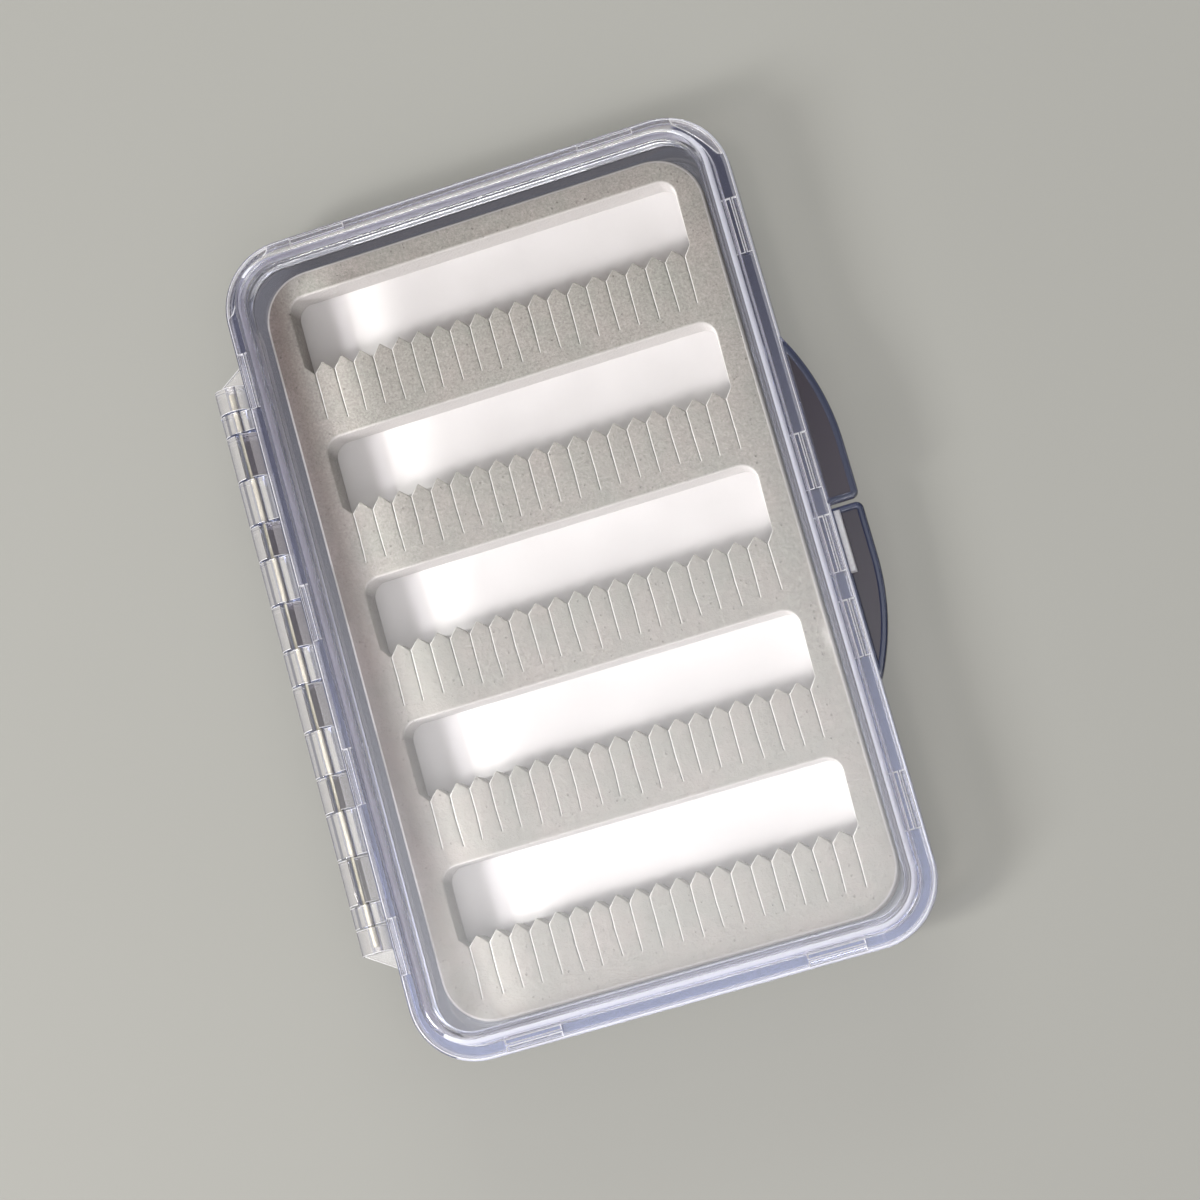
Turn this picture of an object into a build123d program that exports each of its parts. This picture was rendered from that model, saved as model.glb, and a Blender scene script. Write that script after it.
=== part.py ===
from build123d import *
import os

# A slim clear fly box: a base tray and a raised-panel lid on one long hinge pin,
# with a seal round the rim and a slit-foam insert on a white sheet.
# Frame: X across the box (hinge at -X, opening tab at +X), Y along it, Z up,
# origin at the middle of the base's underside. Millimetres.

# --- outline and heights -------------------------------------------------
body_width = 94.2
body_length = 150.0
corner_radius = 12.0
base_height = 10.0          # underside to the sealing land
lid_height = 7.85           # skirt edge to the top of the panel
parting_gap = 0.15          # between the base's land and the lid's skirt

# --- moulded walls -------------------------------------------------------
floor_thickness = 1.6
panel_thickness = 1.6
wall_thickness = 1.9
rim_width = 2.7             # rim that stands out beyond the walls
rim_thickness = 1.8
outside_draft = 3.0         # degrees, outside of both trays
cavity_draft = 1.0          # degrees, inside of both trays
base_edge_radius = 1.6
panel_edge_radius = 1.3
rim_edge_chamfer = 0.4
cavity_edge_chamfer = 0.7   # in the lid; the base's edge is under the foam

# --- skirt, seal and snap hooks ------------------------------------------
skirt_thickness = 0.9
skirt_depth = 1.05          # skirt edge up to the underside of the lid's rim
seal_width = 1.1
seal_height = 1.1
seal_side_clearance = 0.05
seal_lid_clearance = 0.05
catch_length = 10.0
hook_thickness = 1.1
hook_nose = 0.25
hook_clearance = 0.1        # nose to the skirt, and top to the lid's rim
pocket_depth = 0.4          # moulding pocket in the lid over each hook
pocket_wall = 0.15
pocket_margin = 0.5         # edge of the lid's rim to the pocket
pocket_ridge = 0.45
outer_catch_from_end = 23.0
inner_catch_from_latch = 15.05
end_catch_from_side = 20.0

# --- hinge ---------------------------------------------------------------
knuckle_radius = 2.9
knuckle_clearance = 0.3     # barrel to the other shell's rim
knuckle_gap = 0.3           # between neighbours along the pin
pin_radius = 0.6
pin_clearance = 0.06
pin_end_recess = 1.2
hinge_end_margin = 22.8     # end of the body to the end of the hinge
end_knuckle_length = 4.8
second_knuckle_length = 4.1
middle_knuckles = 11
short_knuckle_share = 0.78  # every third middle knuckle, against the others
gusset_length = 3.8

# --- opening tab and latch -----------------------------------------------
tab_reach = 5.3
tab_half_length = 31.0
tab_straight = 10.0         # half of the tab's straight outer edge
tab_thickness = 2.0
tab_bead = 1.2
tab_recess = 0.5
tab_gap = 0.3               # between the lid's half and the base's half, seen from above
tab_corner_radius = 1.3
latch_length = 11.0
latch_thickness = 1.1
latch_height = 2.3
latch_clearance = 0.15
latch_offset = 6.4          # its middle, from the middle of the tab

# --- foam insert and sheet -----------------------------------------------
foam_side_clearance = 1.5
foam_end_clearance = 1.35
foam_thickness = 7.0
foam_corner_radius = 9.0
window_rows = 5
window_height = 12.5
window_corner_radius = 2.8
window_side_margin = 4.8
first_window_margin = 4.4   # far edge of the foam to the first window
last_slit_margin = 4.75     # last row of slits to the near edge of the foam
slits_per_row = 20
slit_mouth = 0.3            # the knife cut closes to nothing at its end
uncut_strip = 3.3           # foam left between the slits and the next window
notch_depth = 1.3
notch_half_width = 1.5
sheet_thickness = 0.5
sheet_inset = 0.9

# --- places worked out from the sizes above ------------------------------
half_width = body_width / 2
half_length = body_length / 2
wall_inset = rim_width + wall_thickness
base_rim_low = base_height - rim_thickness
lid_bottom = base_height + parting_gap
lid_rim_low = lid_bottom + skirt_depth
lid_rim_high = lid_rim_low + rim_thickness
lid_top = lid_bottom + lid_height
axis_x = -half_width - knuckle_clearance - knuckle_radius
axis_z = base_height + parting_gap / 2
hinge_half = half_length - hinge_end_margin
latch_y = -latch_offset
foam_width = body_width - 2 * (wall_inset + foam_side_clearance)
foam_length = body_length - 2 * (wall_inset + foam_end_clearance)


def outline(inset):
    """The body's rounded outline, set in from its edge."""
    return RectangleRounded(
        body_width - 2 * inset, body_length - 2 * inset, corner_radius - inset
    )


def plate(inset, low, high):
    return extrude(Pos(0, 0, low) * outline(inset), high - low)


def ring(outer_inset, inner_inset, low, high):
    return plate(outer_inset, low, high) - plate(inner_inset, low, high)


def rim_plate(low, high, edge_z_order):
    """The rim of one shell, with its outer edge broken on one face."""
    rim = plate(0, low, high)
    return chamfer(rim.faces().sort_by(Axis.Z)[edge_z_order].edges(), rim_edge_chamfer)


def plug(inset, start, end, draft):
    """A rounded plug that narrows from start to end, and the face at its end."""
    direction = 1 if end > start else -1
    body = extrude(
        Pos(0, 0, start) * outline(inset), abs(end - start), dir=(0, 0, direction), taper=draft
    )
    return body, body.faces().sort_by(Axis.Z)[-1 if end > start else 0]


def tray(start, end, edge_radius):
    """Outside of a moulded tray, with a rounded far edge."""
    body, far_face = plug(rim_width, start, end, outside_draft)
    return fillet(far_face.edges(), edge_radius)


def cavity(start, end, edge_chamfer=0.0):
    """Inside of a moulded tray, with its inner edge broken or left sharp."""
    body, far_face = plug(wall_inset, start, end, cavity_draft)
    return chamfer(far_face.edges(), edge_chamfer) if edge_chamfer else body


def along_y(profile, low, high):
    """Extrude a profile drawn in the XZ plane from low to high along Y."""
    return extrude(Plane.XZ.offset(-low) * profile, -(high - low))


# --- opening tab ---------------------------------------------------------
def tab_half(side, low):
    """One half of the D-shaped tab: side 1 is the lid's, side -1 the base's."""
    inner = half_width - skirt_thickness
    outer = half_width + tab_reach
    split = tab_gap / 2
    edge = TangentArc((outer, tab_straight), (half_width, tab_half_length), tangent=(0, 1))
    shape = make_face(
        [
            Line((inner, split), (outer, split)),
            Line((outer, split), (outer, tab_straight)),
            edge,
            Line((half_width, tab_half_length), (inner, tab_half_length)),
            Line((inner, tab_half_length), (inner, split)),
        ]
    )
    corner = shape.vertices().sort_by_distance((outer, split, 0))[0]
    shape = fillet(corner, tab_corner_radius)
    half = extrude(shape, tab_thickness)
    half -= Pos(0, 0, tab_thickness - tab_recess) * extrude(
        offset(shape, -tab_bead), tab_recess
    )
    half = Pos(0, 0, low) * half
    return half if side > 0 else mirror(half, about=Plane.XZ)


def latch_bar():
    """Upright bar on the base's tab that bears on the edge of the closed lid."""
    bar = Box(
        latch_thickness, latch_length, latch_height,
        align=(Align.MIN, Align.CENTER, Align.MIN),
    )
    top_edges = bar.edges().filter_by(Axis.Y).sort_by(Axis.Z)[-2:]
    bar = chamfer(top_edges, latch_thickness / 3)
    return Pos(half_width + latch_clearance, latch_y, base_height - tab_recess) * bar


# --- snap hooks ----------------------------------------------------------
def catch_places():
    """Points on the body's edge beside each catch, and the turn to face outwards."""
    outer_y = half_length - outer_catch_from_end
    inner = [latch_y - inner_catch_from_latch, latch_y + inner_catch_from_latch]
    long_side = [-outer_y] + inner + [outer_y]
    end_x = half_width - end_catch_from_side
    places = [(side * half_width, y, 90 * side) for side in (-1, 1) for y in long_side]
    places += [(x, half_length, 180) for x in (-end_x, end_x)]
    places += [(x, -half_length, 0) for x in (-end_x, end_x)]
    return places


def at_catches(shape, z):
    """Copies of a shape drawn with its outside at -Y, one at each catch."""
    return [Pos(x, y, z) * Rot(0, 0, turn) * shape for x, y, turn in catch_places()]


def snap_hook():
    """Low hook on the base's land, its nose towards the lid's skirt."""
    nose = skirt_thickness + hook_clearance
    outer = nose + hook_nose
    inner = outer + hook_thickness
    height = skirt_depth + parting_gap - hook_clearance
    profile = make_face(
        Polyline(
            (outer, 0), (inner, 0), (inner, height), (outer, height),
            (nose, height - hook_nose), (outer, height - 2 * hook_nose),
            close=True,
        )
    )
    return extrude(Plane.YZ.offset(-catch_length / 2) * profile, catch_length)


def catch_pocket():
    """Shallow moulding pocket over a hook, with a ridge along its middle."""
    width = rim_width - pocket_wall - pocket_margin
    pocket = Rectangle(catch_length, width) - Rectangle(catch_length - 1.0, pocket_ridge)
    return extrude(Pos(0, pocket_margin + width / 2) * pocket, -pocket_depth)


# --- hinge ---------------------------------------------------------------
def knuckle_spans():
    """Ends of every knuckle along Y, from the near end of the hinge."""
    ends = [end_knuckle_length, second_knuckle_length]
    shares = [
        short_knuckle_share if index % 3 == 2 else 1.0 for index in range(middle_knuckles)
    ]
    middle = (2 * hinge_half - 2 * sum(ends)) / sum(shares)
    lengths = ends + [share * middle for share in shares] + ends[::-1]
    spans = []
    low = -hinge_half
    for length in lengths:
        spans.append((low, low + length))
        low += length
    return spans


def knuckle(span, lower, bore_radius, slotted):
    """A barrel round the pin with a web into its own shell's rim.

    A slotted one is moulded open on one side, down to the pin, so that it leaves the mould.
    """
    low = span[0] + knuckle_gap / 2
    high = span[1] - knuckle_gap / 2
    web_low = base_rim_low if lower else lid_bottom
    web_high = base_height if lower else lid_rim_high - rim_edge_chamfer
    web_reach = half_width - skirt_thickness / 2
    profile = Pos(axis_x, axis_z) * Circle(knuckle_radius)
    profile += Pos((axis_x - web_reach) / 2, (web_low + web_high) / 2) * Rectangle(
        -web_reach - axis_x, web_high - web_low
    )
    profile -= Pos(axis_x, axis_z) * Circle(bore_radius)
    if slotted:
        slot_z = axis_z + knuckle_radius * (1 if lower else -1)
        profile -= Pos(axis_x, slot_z) * Rectangle(2 * bore_radius, 2 * knuckle_radius)
    return along_y(profile, low, high)


def gusset(side):
    """Tapered web that runs from the last knuckle into the base's rim."""
    start = hinge_half - knuckle_gap
    inner = -half_width + skirt_thickness / 2
    shape = make_face(
        Polyline(
            (inner, start),
            (axis_x - knuckle_radius, start),
            (-half_width, hinge_half + gusset_length),
            (inner, hinge_half + gusset_length),
            close=True,
        )
    )
    web = extrude(Pos(0, 0, base_rim_low) * shape, rim_thickness)
    return web if side > 0 else mirror(web, about=Plane.XZ)


# --- shells --------------------------------------------------------------
def base_shell():
    shell = rim_plate(base_rim_low, base_height, 0)
    shell += tray(base_rim_low + rim_edge_chamfer, 0, base_edge_radius)
    shell -= cavity(base_height, floor_thickness)
    groove_out = rim_width - seal_side_clearance
    groove_in = rim_width + seal_width + seal_side_clearance
    groove_low = lid_bottom - seal_lid_clearance - seal_height
    shell -= ring(groove_out, groove_in, groove_low, base_height)
    spans = knuckle_spans()
    for index in range(0, len(spans), 2):
        at_end = index in (0, len(spans) - 1)
        bore = pin_radius if at_end else pin_radius + pin_clearance
        shell += knuckle(spans[index], True, bore, not at_end)
    shell += gusset(1) + gusset(-1)
    shell += tab_half(-1, base_height - tab_thickness)
    shell += latch_bar()
    for hook in at_catches(snap_hook(), base_height):
        shell += hook
    return shell


def lid_shell():
    shell = rim_plate(lid_bottom, lid_rim_high, -1)
    shell += tray(lid_rim_low, lid_top, panel_edge_radius)
    shell -= cavity(lid_bottom, lid_top - panel_thickness, cavity_edge_chamfer)
    shell -= ring(skirt_thickness, rim_width - pocket_wall, lid_bottom, lid_rim_low)
    spans = knuckle_spans()
    for index in range(1, len(spans), 2):
        shell += knuckle(spans[index], False, pin_radius + pin_clearance, True)
    shell += tab_half(1, lid_rim_high - tab_thickness)
    pockets = at_catches(catch_pocket(), lid_rim_high)
    pockets.append(Pos(half_width, latch_y, lid_rim_high) * Rot(0, 0, 90) * catch_pocket())
    for pocket in pockets:
        shell -= pocket
    return shell


def hinge_pin():
    length = 2 * (hinge_half - pin_end_recess)
    return Pos(axis_x, 0, axis_z) * Cylinder(pin_radius, length, rotation=(90, 0, 0))


def rim_seal():
    top = lid_bottom - seal_lid_clearance
    return ring(rim_width, rim_width + seal_width, top - seal_height, top)


# --- insert --------------------------------------------------------------
def window(top, slit_length):
    """One window with the V-mouthed slits along its near edge."""
    width = foam_width - 2 * window_side_margin
    low = top - window_height
    opening = Pos(0, (top + low) / 2) * Rectangle(width, window_height)
    opening = fillet(opening.vertices().sort_by(Axis.Y)[-2:], window_corner_radius)
    first = -width / 2 + notch_half_width
    pitch = -2 * first / (slits_per_row - 1)
    root = low - notch_depth
    for index in range(slits_per_row):
        x = first + index * pitch
        opening += make_face(
            Polyline(
                (x - notch_half_width, low),
                (x - slit_mouth / 2, root),
                (x, root - slit_length),
                (x + slit_mouth / 2, root),
                (x + notch_half_width, low),
                close=True,
            )
        )
    return opening


def foam_insert():
    rows_length = foam_length - first_window_margin - last_slit_margin + uncut_strip
    pitch = rows_length / window_rows
    slit_length = pitch - window_height - notch_depth - uncut_strip
    shape = RectangleRounded(foam_width, foam_length, foam_corner_radius)
    for row in range(window_rows):
        top = foam_length / 2 - first_window_margin - row * pitch
        shape -= window(top, slit_length)
    return extrude(Pos(0, 0, floor_thickness + sheet_thickness) * shape, foam_thickness)


def white_sheet():
    shape = RectangleRounded(
        foam_width - 2 * sheet_inset,
        foam_length - 2 * sheet_inset,
        foam_corner_radius - sheet_inset,
    )
    return extrude(Pos(0, 0, floor_thickness) * shape, sheet_thickness)


os.makedirs("parts", exist_ok=True)
export_step(base_shell(), "parts/base_shell.step")
export_step(lid_shell(), "parts/lid_shell.step")
export_step(hinge_pin(), "parts/hinge_pin.step")
export_step(rim_seal(), "parts/rim_seal.step")
export_step(foam_insert(), "parts/foam_insert.step")
export_step(white_sheet(), "parts/white_sheet.step")
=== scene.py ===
import math
import random

import bmesh
import bpy
from mathutils import Matrix, Vector, geometry, noise


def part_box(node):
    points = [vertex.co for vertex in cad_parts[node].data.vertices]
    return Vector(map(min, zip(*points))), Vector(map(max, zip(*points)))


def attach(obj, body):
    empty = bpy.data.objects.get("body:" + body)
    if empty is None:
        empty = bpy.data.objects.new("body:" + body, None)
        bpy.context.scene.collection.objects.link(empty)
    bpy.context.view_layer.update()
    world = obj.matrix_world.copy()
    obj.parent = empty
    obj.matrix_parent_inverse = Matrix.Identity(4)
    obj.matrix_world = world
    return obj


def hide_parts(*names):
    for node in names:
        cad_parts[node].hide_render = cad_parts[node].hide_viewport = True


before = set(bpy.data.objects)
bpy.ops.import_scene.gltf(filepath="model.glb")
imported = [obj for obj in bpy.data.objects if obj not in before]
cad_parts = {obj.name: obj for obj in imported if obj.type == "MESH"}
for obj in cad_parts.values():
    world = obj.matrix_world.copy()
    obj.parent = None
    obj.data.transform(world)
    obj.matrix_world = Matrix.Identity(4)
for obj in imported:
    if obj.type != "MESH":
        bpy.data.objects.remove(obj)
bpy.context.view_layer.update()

mm = 0.001

# --- White backing sheet -------------------------------------------------
# A thin sheet of matt white plastic, cut with rounded corners and laid on the floor of the
# tray. The foam is glued on top of it, so it shows only at the bottom of the windows.


def emptied(tree):
    """Empty a node tree, and give back a function that adds a node to it."""
    tree.nodes.clear()

    def add(kind, values=None, **settings):
        """Add a node; where a value is another node's socket, the two are joined."""
        node = tree.nodes.new(kind)
        for key, value in settings.items():
            setattr(node, key, value)
        for socket, value in (values or {}).items():
            if isinstance(value, bpy.types.NodeSocket):
                tree.links.new(value, node.inputs[socket])
            else:
                node.inputs[socket].default_value = value
        return node

    return add


def new_material(name):
    """An empty material, and the function that adds nodes to it."""
    material = bpy.data.materials.new(name)
    material.use_nodes = True
    return material, emptied(material.node_tree)


def grain(
    add, size, detail=2.0, roughness=0.5, offset=(0.0, 0.0, 0.0), stretch=(1.0, 1.0, 1.0)
):
    """Noise whose features are about this many millimetres across, from 0 to 1."""
    place = add("ShaderNodeTexCoord").outputs["Object"]
    moved = add(
        "ShaderNodeMapping",
        {"Vector": place, "Location": offset, "Scale": stretch},
    ).outputs["Vector"]
    return add(
        "ShaderNodeTexNoise",
        {
            "Vector": moved,
            "Scale": 1.0 / (size * mm),
            "Detail": detail,
            "Roughness": roughness,
        },
    ).outputs["Fac"]


def shades(add, factor, stops):
    """A colour that runs through (position, colour) stops as the factor rises."""
    ramp = add("ShaderNodeValToRGB", {"Fac": factor})
    band = ramp.color_ramp
    for position, colour in stops[1:-1]:
        band.elements.new(position)
    for element, (position, colour) in zip(band.elements, stops):
        element.position = position
        element.color = (*colour, 1.0)
    return ramp.outputs["Color"]


def mapped(add, value, start, end, low=0.0, high=1.0, **settings):
    """A value that runs from low to high while another runs from start to end."""
    ends = {"From Min": start, "From Max": end, "To Min": low, "To Max": high}
    return add("ShaderNodeMapRange", {"Value": value, **ends}, **settings).outputs["Result"]


def blended(add, factor, first, second, how="MIX"):
    """One colour blended with another."""
    colours = {"Color1": first, "Color2": second}
    return add("ShaderNodeMixRGB", {"Fac": factor, **colours}, blend_type=how).outputs["Color"]


def axes(add, kind):
    """The X, Y and Z of where a surface is (kind "Object") or faces (kind "Normal")."""
    whole = add("ShaderNodeTexCoord").outputs[kind]
    return add("ShaderNodeSeparateXYZ", {"Vector": whole}).outputs


def bump(add, height, strength, distance, **under):
    """Fine relief on a surface; Normal is another relief that it goes on top of."""
    values = {"Height": height, "Strength": strength, "Distance": distance, **under}
    return add("ShaderNodeBump", values).outputs["Normal"]


def either(add, ray, usual, other):
    """A shader for most rays, and another for one kind of ray."""
    kind = add("ShaderNodeLightPath").outputs[ray]
    return add("ShaderNodeMixShader", {0: kind, 1: usual.outputs[0], 2: other.outputs[0]})


def finish_material(add, shader):
    """Make this shader the surface of its material."""
    add("ShaderNodeOutputMaterial", {"Surface": shader.outputs[0]})


def finish_surface(add, values):
    """Make a plain surface shader with these values the surface of its material."""
    finish_material(add, add("ShaderNodeBsdfPrincipled", values))


sheet_white, add = new_material("white_sheet_plastic")
sheet_cloud = grain(add, 14.0, 3.0)
sheet_tooth = grain(add, 0.35, 2.0)
finish_surface(
    add,
    {
        "Base Color": shades(
            add, sheet_cloud, [(0.3, (0.50, 0.487, 0.485)), (0.7, (0.555, 0.542, 0.54))]
        ),
        "Roughness": 0.55,
        "Normal": bump(add, sheet_tooth, 0.15, 0.03 * mm),
    },
)


def dress(piece, *materials):
    """Give a piece these materials in its slots, in order."""
    piece.data.materials.clear()
    for material in materials:
        piece.data.materials.append(material)


dress(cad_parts["white_sheet"], sheet_white)

# --- Base tray -----------------------------------------------------------
# The lower half of the box, injection moulded in one shot of clear plastic: a tray with a
# flange, a groove for the seal, hinge knuckles, half of the opening tab and its latch bar.

seal_low, seal_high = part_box("rim_seal")
base_low, base_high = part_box("base_shell")
lid_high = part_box("lid_shell")[1]
foam_low, foam_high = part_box("foam_insert")
pin_low, pin_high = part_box("hinge_pin")

rim_width = 2.7 * mm
seal_width = 1.1 * mm
wall_thickness = 1.9 * mm
rim_thickness = 1.8 * mm
half_width = seal_high.x + rim_width
half_length = base_high.y
corner_radius = 12.0 * mm
corner_steps = 18

axis_x = (pin_low.x + pin_high.x) / 2
axis_z = (pin_low.z + pin_high.z) / 2
knuckle_radius = axis_x - base_low.x
parting_gap = 0.15 * mm
weld = 0.02 * mm
root_depth = 0.2 * mm
groove_clearance = 0.05 * mm
land_z = axis_z - parting_gap / 2
lid_edge_z = axis_z + parting_gap / 2
skirt_thickness = 0.9 * mm
skirt_depth = 1.05 * mm
lid_rim_low = lid_edge_z + skirt_depth
lid_rim_high = lid_rim_low + rim_thickness
wall_inset = rim_width + wall_thickness
outside_draft = math.radians(3.0)
cavity_draft = math.radians(1.0)
tray_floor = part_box("white_sheet")[0].z
middle_inset = 11.0 * mm
floor_ring_inset = 7.5 * mm


def box_outline(inset):
    """The rounded outline of the box, set in from its edge."""
    radius = corner_radius - inset
    across = half_width - corner_radius
    along = half_length - corner_radius
    points = []
    for quarter, (x, y) in enumerate(
        [(across, along), (-across, along), (-across, -along), (across, -along)]
    ):
        for step in range(corner_steps + 1):
            turn = math.radians(90) * (quarter + step / corner_steps)
            points.append((x + radius * math.cos(turn), y + radius * math.sin(turn)))
    return points


def eased(corners, closed=False):
    """A moulded profile from (inset, height, radius) corners, each rounded by its radius."""
    points = []
    for index, (inset, height, radius) in enumerate(corners):
        corner = Vector((inset, height))
        if radius == 0 or (not closed and index in (0, len(corners) - 1)):
            points.append(tuple(corner))
            continue
        back = (Vector(corners[index - 1][:2]) - corner).normalized()
        ahead = (Vector(corners[(index + 1) % len(corners)][:2]) - corner).normalized()
        half = back.angle(ahead) / 2
        middle = corner + (back + ahead).normalized() * radius / math.sin(half)
        start = corner + back * radius / math.tan(half) - middle
        end = corner + ahead * radius / math.tan(half) - middle
        turn = start.angle_signed(end)
        steps = max(2, math.ceil(abs(turn) / math.radians(20)))
        for step in range(steps + 1):
            arm = Matrix.Rotation(-turn * step / steps, 2) @ start
            points.append(tuple(middle + arm))
    return points


def turned_out(mesh):
    """The mesh with every face turned to the outside."""
    bmesh.ops.recalc_face_normals(mesh, faces=mesh.faces)
    if mesh.calc_volume(signed=True) < 0:
        bmesh.ops.reverse_faces(mesh, faces=mesh.faces)
    return mesh


def carried(around, profile, closed=False):
    """A mesh made by carrying a profile of (inset, height) points round an outline."""
    mesh = bmesh.new()
    rings = [
        [mesh.verts.new((x, y, height)) for x, y in around(inset)] for inset, height in profile
    ]
    count = len(rings[0])
    for lower, upper in zip(rings, rings[1:] + rings[:1] if closed else rings[1:]):
        for i in range(count):
            j = (i + 1) % count
            mesh.faces.new((lower[i], lower[j], upper[j], upper[i]))
    if not closed:
        mesh.faces.new(rings[0])
        mesh.faces.new(rings[-1])
    return turned_out(mesh)


def piece_from(mesh, name):
    """A piece made of one or more meshes; the meshes are used up."""
    data = bpy.data.meshes.new(name)
    piece = bpy.data.objects.new(name, data)
    bpy.context.collection.objects.link(piece)
    meshes = mesh if isinstance(mesh, list) else [mesh]
    whole = bmesh.new()
    for part in meshes:
        part_data = bpy.data.meshes.new("part")
        part.to_mesh(part_data)
        part.free()
        whole.from_mesh(part_data)
        bpy.data.meshes.remove(part_data)
    whole.to_mesh(data)
    whole.free()
    return piece


def combine(piece, others, operation):
    """Weld other meshes to a piece, or cut them out of it, worked at a thousand times size."""
    tool = piece_from(others, "tool")
    for data in (piece.data, tool.data):
        data.transform(Matrix.Scale(1 / mm, 4))
    fit = piece.modifiers.new("fit", "BOOLEAN")
    fit.operation = operation
    fit.solver = "MANIFOLD"
    fit.object = tool
    bpy.context.view_layer.update()
    depsgraph = bpy.context.evaluated_depsgraph_get()
    result = bpy.data.meshes.new_from_object(piece.evaluated_get(depsgraph))
    result.transform(Matrix.Scale(mm, 4))
    piece.modifiers.clear()
    old = piece.data
    piece.data = result
    result.name = piece.name
    bpy.data.meshes.remove(old)
    bpy.data.objects.remove(tool)


def level_flats(piece):
    """Put stray corners, which welding leaves on large flat faces, back in their plane."""
    for polygon in piece.data.polygons:
        if len(polygon.vertices) > 12 and abs(polygon.normal.z) > 0.99:
            corners = [piece.data.vertices[index].co for index in polygon.vertices]
            level = sorted(corner.z for corner in corners)[len(corners) // 2]
            for corner in corners:
                corner.z = level


def smooth(piece, angle=32):
    """Round shading across soft edges, flat faces kept flat."""
    piece.data.shade_smooth()
    piece.data.set_sharp_from_angle(angle=math.radians(angle))
    for polygon in piece.data.polygons:
        polygon.use_smooth = len(polygon.vertices) < 9
    weighted = piece.modifiers.new("weighted", "WEIGHTED_NORMAL")
    weighted.keep_sharp = True


def extruded(points, start, end):
    """A prism: a polygon of 3D points carried from one offset to another."""
    mesh = bmesh.new()
    near = [mesh.verts.new(Vector(p) + Vector(start)) for p in points]
    far = [mesh.verts.new(Vector(p) + Vector(end)) for p in points]
    mesh.faces.new(near)
    mesh.faces.new(list(reversed(far)))
    for i in range(len(points)):
        j = (i + 1) % len(points)
        mesh.faces.new((near[i], near[j], far[j], far[i]))
    return turned_out(mesh)


def soften(mesh, width, angle=50):
    """Break the sharp edges of a small moulded part."""
    edges = [e for e in mesh.edges if e.calc_face_angle(0) > math.radians(angle)]
    bmesh.ops.bevel(
        mesh, geom=edges, offset=width, segments=2, profile=0.6, affect="EDGES", clamp_overlap=True
    )
    return mesh


pin_end_recess = 1.2 * mm
pin_clearance = 0.06 * mm
hinge_half = pin_high.y + pin_end_recess
end_knuckle_length = 4.8 * mm
second_knuckle_length = 4.1 * mm
middle_knuckles = 11
short_knuckle_share = 0.78
knuckle_gap = 0.3 * mm
bore_radius = (pin_high.x - pin_low.x) / 2 + pin_clearance
bore_overrun = 0.1 * mm
web_reach = half_width - skirt_thickness / 2
knuckle_softening = 0.12 * mm


def knuckle_spans():
    """Ends of every knuckle, from the near end of the hinge; every third one is shorter."""
    ends = [end_knuckle_length, second_knuckle_length]
    shares = [
        short_knuckle_share if index % 3 == 2 else 1.0 for index in range(middle_knuckles)
    ]
    middle = (2 * hinge_half - 2 * sum(ends)) / sum(shares)
    lengths = ends + [share * middle for share in shares] + ends[::-1]
    spans = []
    low = -hinge_half
    for length in lengths:
        spans.append((low + knuckle_gap / 2, low + length - knuckle_gap / 2))
        low += length
    return spans


def barrel(web_low, web_high):
    """Outline of a knuckle in the plane across the pin: a round with a web to the flange."""
    start = math.asin((web_high - axis_z) / knuckle_radius)
    end = math.asin((web_low - axis_z) / knuckle_radius) + 2 * math.pi
    steps = 48
    points = []
    for step in range(steps + 1):
        turn = start + (end - start) * step / steps
        points.append(
            (axis_x + knuckle_radius * math.cos(turn), 0, axis_z + knuckle_radius * math.sin(turn))
        )
    return points + [(-web_reach, 0, web_low), (-web_reach, 0, web_high)]


def bore(opening):
    """Outline of the space for the pin: round, or open on the side that opening points to."""
    points = []
    steps = 32
    sweep = math.pi if opening else 2 * math.pi * (1 - 1 / steps)
    start = math.pi if opening > 0 else 0
    for step in range(steps + (1 if opening else 0)):
        turn = start + sweep * step / steps
        points.append(
            (axis_x + bore_radius * math.cos(turn), 0, axis_z + bore_radius * math.sin(turn))
        )
    if opening:
        rise = axis_z + opening * 1.2 * knuckle_radius
        points.append((points[-1][0], 0, rise))
        points.append((points[0][0], 0, rise))
    return points


def along_hinge(points, span, overrun=0.0):
    """A prism along the pin, over one knuckle's span and past both its ends by the overrun."""
    return extruded(points, (0, span[0] - overrun, 0), (0, span[1] + overrun, 0))


tab_reach = base_high.x - half_width
tab_half_length = 31.0 * mm
tab_straight = 10.0 * mm
tab_thickness = 2.0 * mm
tab_bead = 1.2 * mm
tab_recess = 0.5 * mm
tab_gap = 0.3 * mm
tab_corner_radius = 1.3 * mm


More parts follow.
